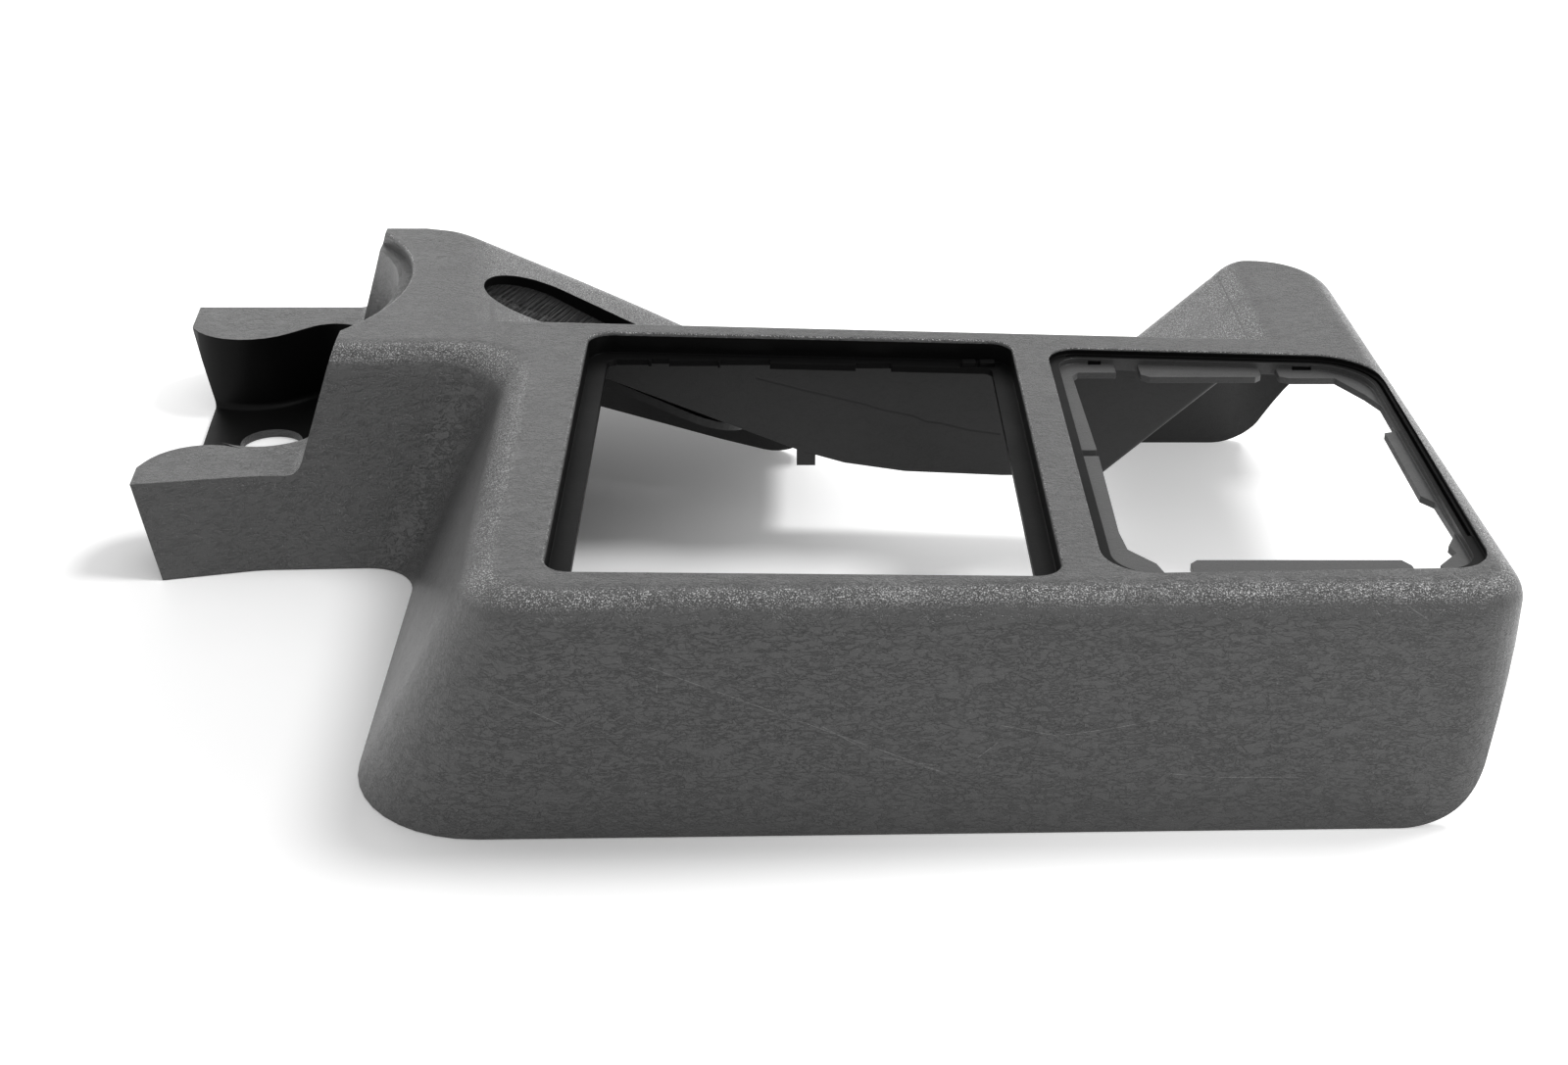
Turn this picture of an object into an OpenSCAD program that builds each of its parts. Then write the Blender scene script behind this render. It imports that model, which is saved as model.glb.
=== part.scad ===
// Car centre console: one thin moulded shell with a tall box, two deck openings, a cup trough,
// a sloping hand lever panel with a brush seal in its slot, and a wing beyond the lever pit.
// X runs along the deck, Y away from the tall near wall, Z up. All sizes are millimetres.

/* [Shell] */
// Wall thickness of the moulding
wall = 3; // [2:0.5:4]
// Rounding of the long top edges
edge_r = 9; // [6:0.5:12]
// Height of the deck above the foot
deck_h = 72; // [64:1:80]

/* [Box plan at deck level] */
// Left side of the box
box_left = -81; // [-86:1:-76]
// Right side of the box
box_right = 193; // [189:1:198]
// Near side of the box at X = 0
box_near = -14; // [-18:1:-12]
// Far side of the box at X = 0
box_far = 168; // [166:1:172]
// Turn of the far side, millimetres of Y for each millimetre of X
far_taper = 0.0646; // [0.05:0.001:0.08]
// Turn of the near side
near_taper = 0.02; // [0.01:0.005:0.03]
// Corner radius, near left
corner_left_r = 22; // [16:1:26]
// Corner radius, near right
corner_right_r = 16; // [14:1:22]
// How far the left end flares out by the foot
left_flare = 38; // [30:1:44]
// What that corner's radius gains by the foot
corner_gain = 15; // [8:1:18]
// How far the near wall flares out by the foot
near_flare = 1.5; // [1:0.5:5]

/* [Neck and cup trough] */
// Near side of the neck at deck level
neck_near = 149; // [145:1:152]
// How far the neck's near wall flares out by the foot
neck_flare = 13; // [8:1:16]
// Far side of the neck at deck level
neck_far = 264; // [260:1:268]
// How far the far skirt stands out by the foot at the neck
skirt_flare = 42; // [36:1:48]
// Left end of the neck at deck level
neck_left = -143; // [-146:1:-140]
// Lean of the neck's end wall in degrees
neck_lean = 18; // [14:1:22]
// Height of the side blocks of the trough
block_h = 31; // [26:1:36]
// Left end of the blocks at their top, near side
block_left = -210; // [-215:1:-206]
// Lean of the blocks' end in degrees
block_lean = 14; // [8:1:20]
// Blend between a block's top and the neck's end wall
block_fillet = 6; // [3:1:9]
// Radius of the scallop in the neck's deck
scallop_r = 74.5; // [72:0.5:77]
// Distance of the scallop's deepest point from the neck's left end
scallop_bite = 15.5; // [13:0.5:18]
// Centre of the scallop in Y
scallop_y = 211; // [208:1:214]
// Width of the ledge under the scallop's edge
ledge_w = 5; // [3:0.5:7]
// Depth of that ledge
ledge_drop = 4; // [3:0.5:6]
// Width of the trough's throat between the blocks
throat_w = 72; // [64:1:78]
// Radius of the fixing hole in the trough's floor
fix_hole_r = 11; // [8:0.5:13]
// Place of the fixing hole in X
fix_x = -185; // [-188:1:-182]
// Place of the fixing hole in Y
fix_y = 227; // [223:1:231]

/* [Lever panel] */
// X where the panel starts down
ramp_start = -101; // [-106:1:-96]
// Slope of the panel in degrees
ramp_angle = 20.8; // [18:0.2:22]
// Right end of the panel
ramp_end = 12; // [8:1:16]
// Outer edge of the panel's top at its right end, beyond the far wall
ramp_tip_w = 47; // [44:1:52]
// How far its skirt flares out by the foot at that end
ramp_tip_flare = 6; // [2:1:10]
// Radius of the slot's wide end
slot_r1 = 19.5; // [17:0.5:21]
// Radius of the slot's narrow end
slot_r2 = 13; // [10:0.5:15]
// Distance of the slot's wide end centre from the start of the slope
slot_in = 19; // [17:1:22]
// Length between the slot's end centres
slot_len = 62; // [50:1:66]
// Depth of the collar that hangs round the slot
collar_h = 5; // [3:0.5:7]

/* [Wing] */
// X where the wing starts down
wing_start = 152; // [148:1:156]
// Slope of the wing in degrees
wing_angle = 43.8; // [40:0.2:48]
// Far side of the wing at deck level
wing_far = 231; // [226:1:236]
// How far its skirt flares out by the foot
wing_flare = 5; // [2:1:8]
// Corner radius of the wing, far right
wing_corner_r = 26; // [20:1:30]
// Height of the free edge between panel and wing
far_edge_z = 22; // [16:1:28]

/* [Left deck opening] */
// Left side of the opening
left_open_x = -62.5; // [-64:0.5:-60]
// Width of the opening
left_open_w = 134.5; // [130:0.5:136]
// Length of the opening, near to far
left_open_l = 160; // [150:1:161]
// Corner radius of the opening
left_open_r = 7; // [5:0.5:10]
// Depth of the wall round the opening
left_open_deep = 7; // [5:0.5:9]
// Width of the flange at the bottom of that wall
left_flange_w = 6; // [4:0.5:8]

/* [Right deck opening] */
// Left side of the opening
right_open_x = 83; // [82:0.5:85]
// Width of the opening
right_open_w = 101.5; // [98:0.5:102]
// Length of the opening, near to far
right_open_l = 150; // [140:1:151]
// Corner radius, far right
right_open_r = 20; // [14:1:22]
// Depth of the shallow wall round the opening
right_open_deep = 2; // [1.5:0.5:2.5]
// Width of the flange
right_flange_w = 6; // [4:0.5:8]

/* [Brush seal] */
// Thickness of the frame that holds the brushes
frame_t = 3; // [2:0.5:4]
// Margin of the frame round the slot
frame_margin = 6; // [5:0.5:8]
// Width of the frame's lip under the bristles
frame_lip = 2; // [1.5:0.5:3]
// Thickness of a bristle pack
brush_t = 1.6; // [1:0.2:2.4]
// Running gap between fitted pieces
fit_gap = 0.2; // [0.1:0.05:0.3]

/* [Hidden] */
shell_grey = [0.20, 0.20, 0.21];
frame_black = [0.07, 0.07, 0.07];
bristle_black = [0.03, 0.03, 0.03];
screw_grey = [0.35, 0.35, 0.36];
arc_steps = 4;
below = 5;
edge_turns = [0:22.5:90];
plate_t = 2;

// Plane helpers: unit vector, left normal, far and near sides of the box as lines in X
function unit(v) = v / norm(v);
function left_of(v) = [-v[1], v[0]];
function far_y(x) = box_far - far_taper * x;
function near_y(x) = box_near + near_taper * x;

// Corners moved inwards by d, for a loop that runs counter-clockwise
function inset(pts, d) = [for (i = [0:len(pts) - 1])
    let (n = len(pts), a = left_of(unit(pts[i] - pts[(i + n - 1) % n])),
         b = left_of(unit(pts[(i + 1) % n] - pts[i])))
    pts[i] + d * (a + b) / (1 + a * b)];

// Turn of the loop at corner i: positive where it is convex
function turn(pts, i) = let (n = len(pts), a = pts[i] - pts[(i + n - 1) % n], b = pts[(i + 1) % n] - pts[i])
    atan2(a[0] * b[1] - a[1] * b[0], a * b);

// Corner radii that belong to the inset loop: convex corners tighten and concave ones open
function inset_radii(pts, radii, d) = [for (i = [0:len(pts) - 1])
    max(0.2, radii[i] - (turn(pts, i) > 0 ? d : -d))];

// The loop with each corner rounded by an arc of its radius; marks says which corners stay sharp
function rounded(pts, radii, marks) = [for (i = [0:len(pts) - 1])
    let (n = len(pts), a = unit(pts[i] - pts[(i + n - 1) % n]), b = unit(pts[(i + 1) % n] - pts[i]),
         t = turn(pts, i), s = t > 0 ? 1 : -1, reach = radii[i] * tan(abs(t) / 2),
         start = pts[i] - a * reach, centre = start + s * radii[i] * left_of(a),
         sharp = (marks == undef ? radii : marks)[i] <= 1)
    for (k = [0:sharp ? 0 : arc_steps]) let (w = t * k / arc_steps, v = start - centre)
        sharp ? pts[i] : centre + [v[0] * cos(w) - v[1] * sin(w), v[0] * sin(w) + v[1] * cos(w)]];

// A closed solid through rings of equal length
module skin(rings) {
    n = len(rings[0]);
    m = len(rings);
    sides = [for (i = [0:m - 2], j = [0:n - 1]) let (k = (j + 1) % n)
        each [[i * n + j, (i + 1) * n + j, i * n + k], [i * n + k, (i + 1) * n + j, (i + 1) * n + k]]];
    polyhedron(points = [for (r = rings) each r],
        faces = concat(sides, [[for (j = [0:n - 1]) j], [for (j = [n - 1:-1:0]) (m - 1) * n + j]]));
}

// Drop of a surface that bends from level into a slope over a length of 2 b, and where it has dropped so far
function bend(x, b, slope) = x < -b ? 0 : x > b ? slope * x : slope * (x + b) * (x + b) / (4 * b);
function unbend(drop, b, slope) = drop <= 0 ? -b : drop < slope * b ? 2 * sqrt(b * drop / slope) - b : drop / slope;
function tilt_gain(slope, t) = t * sqrt(1 + slope * slope);
ramp_slope = tan(ramp_angle);
wing_slope = tan(wing_angle);
ramp_bend = 20;
wing_bend = 8;
ramp_turn = ramp_start - ramp_bend - 4;
past = 4;
wing_tip = wing_start - (deck_h - far_edge_z) / wing_slope;

// Where the lever panel and the wing stand in a level slice at height z, for a solid that lies t inside;
// the inner solid runs past the free ends, which leaves them open
function ramp_x(z, t) = min(ramp_end + (t > 0 ? past : 0),
    ramp_start + unbend(deck_h - z - tilt_gain(ramp_slope, t), ramp_bend, ramp_slope));
function wing_x(z, t) = max(wing_tip - (t > 0 ? past : 0),
    wing_start - unbend(deck_h - z - tilt_gain(wing_slope, t), wing_bend, wing_slope));
function ramp_z(x, t = 0) = deck_h - tilt_gain(ramp_slope, t) - bend(x - ramp_start, ramp_bend, ramp_slope);
function wing_z(x, t = 0) = deck_h - tilt_gain(wing_slope, t) - bend(wing_start - x, wing_bend, wing_slope);

// Outer edge of the lever panel and its skirt: level with the neck, then closing on the far wall
function down(z) = (deck_h - z) / deck_h;
ramp_tip_y = far_y(ramp_end) + ramp_tip_w;
function ramp_edge(x) = neck_far + (ramp_tip_y - neck_far) * (x - ramp_turn) / (ramp_end - ramp_turn);
function skirt_out(x) = ramp_tip_flare
    + (skirt_flare - ramp_tip_flare) * (ramp_end - x) / (ramp_end - ramp_turn);

// Outline of the whole moulding in a level slice: corner, radius. d is how far it will be moved in
function slope_round(z, foot, most) = max(0.6, min(most, 0.5 + 5 * sqrt(max(0, deck_h - z)), 1 + z - foot));
function outline(z, t, d) = let (k = down(z), rx = ramp_x(z, t) + d, wx = wing_x(z, t) - d) [
    [[box_left - left_flare * k, near_y(box_left) - near_flare * k], corner_left_r + corner_gain * k],
    [[box_right, near_y(box_right) - near_flare / 3 * k], corner_right_r],
    [[box_right - 6, wing_far + wing_flare * k], wing_corner_r],
    [[wx, wing_far + wing_flare * k], d + slope_round(z, wing_z(wing_tip), 12)],
    [[wx, far_y(wx)], 0],
    [[rx, far_y(rx)], 0],
    [[rx, ramp_edge(rx) + skirt_out(rx) * k], d + slope_round(z, ramp_z(ramp_end), 16)],
    [[ramp_turn, neck_far + skirt_flare * k], 0],
    [[block_left - 30, neck_far + skirt_flare * k], 0],
    [[block_left - 30, neck_near - 4 - 2 * neck_flare * k], 0],
    [[block_left + 40, neck_near - (neck_flare + 1) * k], 50],
    [[box_left - 4 - (left_flare - 4) * k, neck_near - (neck_flare - 1) * k], 20 - 4 * k]];
outline_marks = [for (c = outline(deck_h / 2, 0, 0)) c[1]];
function outline_ring(z, t, d) = let (o = outline(z, t, d), loop = [for (c = o) c[0]], radii = [for (c = o) c[1]])
    [for (p = rounded(inset(loop, d), inset_radii(loop, radii, d), outline_marks)) [p[0], p[1], z]];

// The moulding's outer form, solid, with its top edges rounded; t is how far it lies inside
module moulding(t) {
    r = edge_r - t;
    tip = t > 0 ? past : 0;
    levels = [t > 0 ? -below : 0, wing_z(wing_tip - tip, t), ramp_z(ramp_end + tip, t), ramp_z(ramp_end) + 15];
    skin(concat([for (z = levels) outline_ring(z, t, t)],
        [for (a = edge_turns) outline_ring(deck_h - t - r + r * sin(a), t, t + r * (1 - cos(a)))]));
}

// All that lies above the trough's blocks and left of the neck's leaning end wall
module over_blocks(t) {
    lean = tan(neck_lean);
    foot_x = neck_left - lean * (deck_h - block_h) + t;
    side = rounded([[-far_out, block_h - t], [foot_x, block_h - t],
        [foot_x + lean * (deck_h - block_h + 20), deck_h + 20], [-far_out, deck_h + 20]],
        [0, block_fillet + (t > 0 ? t : 0), 0, 0]);
    translate([0, neck_far + skirt_flare + 30, 0]) rotate([90, 0, 0]) linear_extrude(neck_far) polygon(side);
}

// Cup pocket between the blocks: throat, swell on the near side, round right end, swell on the far side
scallop_x = neck_left + scallop_bite - scallop_r;
throat_x = block_left + 10;
throat_y = scallop_y - 4;
far_out = 240;
pocket_shift = 8;
pocket_loop = [[-far_out, throat_y - throat_w / 2 - 110], [throat_x, throat_y - throat_w / 2 + 4.5],
    [throat_x + 26, throat_y - throat_w / 2 - 12.5], [throat_x + 96, scallop_y],
    [throat_x + 34, scallop_y + 66], [throat_x - 9, throat_y + throat_w / 2 - 5],
    [-far_out, throat_y + throat_w / 2 + 78]];
pocket_radii = [0, 20, 22, 56, 14, 24, 0];
module pocket_floor(t) {
    linear_extrude(block_h + 2) polygon(rounded(inset(pocket_loop, -t),
        inset_radii(pocket_loop, pocket_radii, -t), pocket_radii));
}
module pocket(t) {
    translate([0, 0, wall - t]) pocket_floor(t);
    rings = [[block_h + 0.4 - t, -pocket_shift], [t > 0 ? deck_h : deck_h - ledge_drop, -ledge_w]];
    skin([for (k = rings) [for (a = [0:7.5:359])
        [scallop_x + k[1] + (scallop_r + t) * cos(a), scallop_y + (scallop_r + t) * sin(a), k[0]]]]);
    translate([scallop_x, scallop_y, deck_h - ledge_drop - 0.5 - t]) cylinder(h = 20, r = scallop_r + t, $fn = 180);
}

// Everything left of the leaning end of the blocks
module end_cut() {
    translate([block_left, neck_near, block_h]) rotate([0, 0, 4.7]) rotate([0, -block_lean, 0])
        translate([-far_out, -far_out, -far_out]) cube([far_out, 2 * far_out, 2 * far_out]);
}

// A cutter to the right of a wall's free end, seen along Y: from x_top at height z_top down to x_foot,
// with the lower corner rounded by r
module free_end(x_top, z_top, x_foot, r, y0, y1) {
    arc = [for (a = [0:-7.5:-90]) [x_foot - r + r * cos(a), r + r * sin(a)]];
    translate([0, y1, 0]) rotate([90, 0, 0]) linear_extrude(y1 - y0)
        polygon(concat([[x_top + 30, z_top], [x_top, z_top]], arc, [[x_foot - r, -1], [x_top + 30, -1]]));
}

// Open right end under the lip, and the free edge between panel and wing
lip_h = 11;
near_end = 6;
side_in = 22;
foot_r = 22;
module open_end() {
    x = box_right;
    y = wing_far - wing_corner_r;
    translate([0, 0, -1]) linear_extrude(deck_h - lip_h + 1)
        polygon([[x + 30, near_end], [x - 4, near_end], [x - side_in, near_end + 10], [x - side_in, y], [x + 30, y]]);
    free_end(x - 0.5, deck_h - lip_h, x - 6.5, foot_r, -40, 60);
    free_end(x, deck_h - lip_h - 3, x - 20, foot_r - 4, y - 2, wing_far + 30);
}
module lever_pit() {
    x0 = ramp_end;
    x1 = wing_tip;
    z = far_edge_z;
    y = far_y(0);
    translate([0, y + 8, 0]) rotate([90, 0, 0]) linear_extrude(32)
        polygon([[x0, -1], [x1 + 2, -1], [x1 + 2, z + 3], [x1 - 12, z + 0.5], [x0 + 60, z],
            [x0 + 28, z + 0.5], [x0 + 8, z + 3], [x0 - 3, z + 6]]);
    free_end(ramp_end + 0.5, 26, ramp_end, foot_r - 2, y + 8.5, wing_far);
}

// Deck openings: corner loops at lip level
function left_loop() = let (x0 = left_open_x, x1 = left_open_x + left_open_w)
    [[x0, 1], [x1, -1.5], [x1, left_open_l - 5], [x0, left_open_l + 3]];
left_radii = [for (i = [0:3]) left_open_r];
function right_loop() = let (x0 = right_open_x, x1 = right_open_x + right_open_w)
    [[x0, -0.5], [x1, 3], [x1, right_open_l - 7], [x0, right_open_l]];
right_radii = [13, 11, right_open_r, 9];
module prism(loop, radii, z0, z1) {
    translate([0, 0, z0]) linear_extrude(z1 - z0) polygon(rounded(loop, radii));
}

// Slot of the lever panel: two circles joined by their outer tangents, in the panel's own plane
slot_a = [ramp_start + slot_in, (far_y(ramp_start) + neck_far) / 2 - 6];
slot_b = slot_a + [slot_len, -0.26 * slot_len];
function tangent_loop(a, ra, b, rb, n) = let (d = b - a, h = atan2(d[1], d[0]), w = acos((ra - rb) / norm(d)))
    concat([for (k = [0:n]) a + ra * [cos(h + w + (360 - 2 * w) * k / n), sin(h + w + (360 - 2 * w) * k / n)]],
           [for (k = [0:n]) b + rb * [cos(h - w + 2 * w * k / n), sin(h - w + 2 * w * k / n)]]);
module slot_shape(g) {
    polygon(tangent_loop(slot_a, slot_r1 + g, slot_b, slot_r2 + g, 24));
}
// Puts flat work drawn at its plan place on to the sloping panel, top face at the panel's top
module on_panel() {
    translate([ramp_start, 0, deck_h]) rotate([0, ramp_angle, 0]) translate([-ramp_start, 0, 0]) children();
}

// The part's origin is the fixing hole, at its lower edge
module from_hole() {
    translate([-fix_x, -fix_y, 0]) children();
}

module shell_body() {
    difference() {
        moulding(0);
        difference() {
            moulding(wall);
            over_blocks(wall);
            pocket(wall);
        }
        over_blocks(0);
        pocket(0);
        end_cut();
        open_end();
        lever_pit();
    }
}

// The lofted moulding with its openings, and the whole shell: that moulding as one faceted solid,
// left at its own size, with the fixing hole drilled in it as a true bore
module pierced_body() {
    difference() {
        union() {
            shell_body();
            left_surround();
            right_surround();
            intersection() {
                slot_collar();
                moulding(1);
            }
        }
        prism(left_loop(), left_radii, deck_h - left_open_deep, deck_h + 1);
        left_inner_cut();
        right_inner_cut();
        on_panel() translate([0, 0, -collar_h - wall - 1]) linear_extrude(collar_h + 20) slot_shape(0);
    }
}
module console_shell() {
    color(shell_grey) difference() {
        resize([0, 0, 0]) from_hole() pierced_body();
        translate([0, 0, -1]) cylinder(h = wall + 2, r = fix_hole_r, $fn = 96);
    }
}

// Wall and flange round the left opening
module left_surround() {
    outer = inset(left_loop(), -wall + 0.5);
    prism(outer, [for (r = left_radii) r + wall - 0.5], deck_h - left_open_deep - plate_t, deck_h - wall + 0.5);
}
// Its clear inside, with the clip notches in the far flange
notches = [[8, 31, 3], [42, 17, 4.5], [60, 46, 3], [108, 48, 4.5], [238, 34, 4]];
module left_inner_cut() {
    inner = inset(left_loop(), left_flange_w);
    prism(inner, [for (r = left_radii) 3], 0, deck_h - left_open_deep + 1);
    for (k = notches) translate([left_open_x + left_flange_w + k[0] / 3, left_open_l - left_flange_w - 12,
        deck_h - left_open_deep - plate_t - 1]) cube([k[1] / 3, 12 + k[2] - k[0] / 60, plate_t + 2]);
}

// Stepped flange round the right opening, with its long tabs
module right_surround() {
    outer = inset(right_loop(), -wall + 0.5);
    prism(outer, [for (r = right_radii) r + wall - 0.5], deck_h - right_open_deep - 2 * plate_t, deck_h - wall + 0.5);
}
module right_inner_cut() {
    prism(right_loop(), right_radii, deck_h - right_open_deep, deck_h + 1);
    difference() {
        prism(inset(right_loop(), right_flange_w / 2), [for (r = right_radii) r - 2], 0, deck_h);
        right_tabs();
    }
}
// The flange's wide stretches and tabs, as loops from the opening's near left corner
module right_tabs() {
    w = right_open_w;
    l = right_open_l;
    f = right_flange_w;
    tabs = [
        [[-1, 78], [f + 2, 78], [f + 1.5, 30], [f + 2.5, 20], [f + 9, 12], [f + 11, 5], [f + 10, -1], [-1, -1]],
        [[-1, l], [-1, 82], [f + 2, 82], [f + 1, l - 14], [f + 3, l - 11], [21, l - 11], [21, l]],
        [[28.5, l], [28.5, l - 12.5], [31, l - 14.5], [64, l - 14.5], [66, l - 12.5], [66, l]],
        [[w - 30, l], [w - 30, l - 14], [w - 27, l - 15.5], [w - 13, l - 15.5], [w - 6.5, l - 28], [w - 3.5, l - 36],
            [w - 3.5, 95], [w - 7, 94], [w - 7, 52], [w - 4, 48], [w - 3.5, 29], [w - 7, 22], [w - 6, 18], [w - 12, 11],
            [w - 11, 7], [w + 1, 7], [w + 1, l]],
        [[24, -1], [24, 12], [26, 14], [80, 14], [82, 11], [83, -1]]];
    translate([right_open_x, 0, deck_h - right_open_deep - 2 * plate_t])
        for (k = tabs) linear_extrude(plate_t) polygon(k);
}

// Screw places at the two ends of the slot, in the panel's plane
screw_r = 1.1;
screw_head_r = 2.4;
screw_reach = 4;
screw_places = [slot_a - [slot_r1 + screw_reach, 0], slot_b + [slot_r2 + screw_reach, 0]];

// Collar that hangs round the slot under the panel, with a boss for each screw
module slot_collar() {
    on_panel() translate([0, 0, -wall - collar_h]) difference() {
        linear_extrude(collar_h + wall / 2) {
            slot_shape(wall / 1.5);
            for (p = screw_places) translate(p) circle(r = screw_r + 2, $fn = 24);
        }
        for (p = screw_places) translate([p[0], p[1], -1]) cylinder(h = collar_h, r = screw_r, $fn = 24);
    }
}

// Frame that carries the brushes, screwed up under the panel against the collar
module brush_frame() {
    color(frame_black) from_hole() on_panel() translate([0, 0, -wall - collar_h - frame_t]) difference() {
        linear_extrude(frame_t - fit_gap) slot_shape(frame_margin + 1);
        translate([0, 0, -1]) linear_extrude(frame_t + 2) slot_shape(-frame_lip);
        for (p = screw_places) translate([p[0], p[1], -1]) cylinder(h = frame_t + 2, r = screw_r + fit_gap, $fn = 24);
    }
}

// One bristle pack on the frame's lip: from its side of the slot to the meeting line
module brush(side) {
    h = atan2(slot_b[1] - slot_a[1], slot_b[0] - slot_a[0]);
    reach = slot_len + 3 * slot_r1;
    color(bristle_black) from_hole() on_panel() translate([0, 0, -wall - collar_h - fit_gap])
        linear_extrude(brush_t) intersection() {
            slot_shape(-fit_gap);
            translate(slot_a) rotate(h) translate([-1.5 * slot_r1, side > 0 ? fit_gap / 2 : -reach - fit_gap / 2])
                square([reach, reach]);
        }
}
module near_brush() brush(-1);
module far_brush() brush(1);

// Pan-head screws that hold the frame
module frame_screws() {
    head = 1.8;
    color(screw_grey) from_hole() on_panel()
        for (p = screw_places) translate([p[0], p[1], -wall - collar_h - frame_t - head]) {
            cylinder(h = head, r = screw_head_r, $fn = 32);
            cylinder(h = head + frame_t + collar_h - 2, r = screw_r - fit_gap / 2, $fn = 24);
        }
}

console_shell();
brush_frame();
near_brush();
far_brush();
frame_screws();
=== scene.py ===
import math
import random

import bmesh
import bpy
from mathutils import Matrix, Vector


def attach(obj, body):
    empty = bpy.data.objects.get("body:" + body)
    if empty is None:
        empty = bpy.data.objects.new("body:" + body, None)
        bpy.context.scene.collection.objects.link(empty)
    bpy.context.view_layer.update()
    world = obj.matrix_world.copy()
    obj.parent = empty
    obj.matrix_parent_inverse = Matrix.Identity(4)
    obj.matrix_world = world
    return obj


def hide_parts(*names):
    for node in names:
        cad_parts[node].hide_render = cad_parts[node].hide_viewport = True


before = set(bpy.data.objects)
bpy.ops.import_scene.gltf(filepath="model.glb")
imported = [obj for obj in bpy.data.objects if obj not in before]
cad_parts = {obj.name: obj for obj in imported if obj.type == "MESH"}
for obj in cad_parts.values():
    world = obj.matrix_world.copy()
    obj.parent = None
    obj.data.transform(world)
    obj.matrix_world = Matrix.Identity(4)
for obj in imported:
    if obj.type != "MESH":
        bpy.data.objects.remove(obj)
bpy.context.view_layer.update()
random.seed(11)

# Shell
WALL = 3.0
EDGE_R = 9.0
DECK = 72.0
BOX_LEFT, BOX_RIGHT, BOX_NEAR, BOX_FAR = -81.0, 193.0, -14.0, 168.0
FAR_TAPER, NEAR_TAPER = 0.0646, 0.02
CORNER_LEFT_R, CORNER_RIGHT_R = 22.0, 16.0
LEFT_FLARE, CORNER_GAIN, NEAR_FLARE = 38.0, 15.0, 1.5
# Neck and cup trough
NECK_NEAR, NECK_FLARE, NECK_FAR, SKIRT_FLARE = 149.0, 13.0, 264.0, 42.0
NECK_LEFT, NECK_LEAN = -143.0, 18.0
BLOCK_H, BLOCK_LEFT, BLOCK_LEAN, BLOCK_FILLET = 31.0, -210.0, 14.0, 6.0
SCALLOP_R, SCALLOP_BITE, SCALLOP_Y = 74.5, 15.5, 211.0
LEDGE_W, LEDGE_DROP, THROAT_W = 5.0, 4.0, 72.0
FIX_HOLE_R, FIX_X, FIX_Y = 11.0, -185.0, 227.0
# Lever panel and wing
RAMP_START, RAMP_ANGLE, RAMP_END, RAMP_TIP_W, RAMP_TIP_FLARE = -101.0, 20.8, 12.0, 47.0, 6.0
SLOT_R1, SLOT_R2, SLOT_IN, SLOT_LEN, COLLAR_H = 19.5, 13.0, 19.0, 62.0, 5.0
WING_START, WING_ANGLE, WING_FAR, WING_FLARE, WING_CORNER_R = 152.0, 43.8, 231.0, 5.0, 26.0
FAR_EDGE_Z = 22.0
# Deck openings
LEFT_OPEN_X, LEFT_OPEN_W, LEFT_OPEN_L, LEFT_OPEN_R, LEFT_DEEP, LEFT_FLANGE = -62.5, 134.5, 160.0, 7.0, 7.0, 6.0
RIGHT_OPEN_X, RIGHT_OPEN_W, RIGHT_OPEN_L, RIGHT_OPEN_R, RIGHT_DEEP, RIGHT_FLANGE = 83.0, 101.5, 150.0, 20.0, 2.0, 6.0
PLATE = 2.0
# Brush seal
FRAME_T, FIT_GAP, BRUSH_T = 3.0, 0.2, 1.6
# Lips and finer arcs that only the looks have
ARC_STEPS = 10
TURN_STEP = 7.5
LIP_LEFT, LIP_RIGHT, LIP_SCALLOP, LIP_SLOT = 1.1, 0.6, 1.4, 2.4
# Far edges are crisper than the near ones; the corners of the outline that lie on them, and the two
# where the sloping plates meet the deck's far wall, whose crease catches the light
DECK_EDGE_R, FAR_EDGE_R, INNER_CREASE_R = 2.2, 3.5, 1.3
FAR_CORNERS, PLATE_CORNERS = (2, 3, 4, 5, 6, 7, 8), (4, 5)
# The lever panel's outer edge starts down earlier than the panel's middle, in a tighter bend
OUT_START, OUT_BEND = -118.0, 6.0
FAR_OUT = 240.0
PAST = 4.0
RAMP_BEND, WING_BEND = 20.0, 8.0

# Camera, found from the photograph, whose frame is taken as 1600 by 1087
PHOTO_W, PHOTO_H = 1600, 1087
FOCAL_PX = 2300.0
EYE = Vector((0.0, -511.3, 347.3))
PITCH = 27.3

OUTER, INNER, SMOOTH_SHADED, FLANGE = range(4)


def rad(a):
    return math.radians(a)


def add(a, b, k=1.0):
    return (a[0] + k * b[0], a[1] + k * b[1])


def unit(v):
    n = math.hypot(*v)
    return (v[0] / n, v[1] / n)


def left_of(v):
    return (-v[1], v[0])


def far_y(x):
    return BOX_FAR - FAR_TAPER * x


def near_y(x):
    return BOX_NEAR + NEAR_TAPER * x


def sides_at(pts, i):
    """Directions of the loop before and after corner i."""
    before = unit(add(pts[i], pts[i - 1], -1))
    after = unit(add(pts[(i + 1) % len(pts)], pts[i], -1))
    return before, after


def inset(pts, d):
    """The corner loop moved inwards by d."""
    out = []
    for i, p in enumerate(pts):
        a, b = (left_of(v) for v in sides_at(pts, i))
        out.append(add(p, add(a, b), d / (1 + a[0] * b[0] + a[1] * b[1])))
    return out


def turn(pts, i):
    a, b = sides_at(pts, i)
    return math.atan2(a[0] * b[1] - a[1] * b[0], a[0] * b[0] + a[1] * b[1])


def inset_radii(pts, radii, d):
    return [max(0.2, r - (d if turn(pts, i) > 0 else -d)) for i, r in enumerate(radii)]


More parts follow.
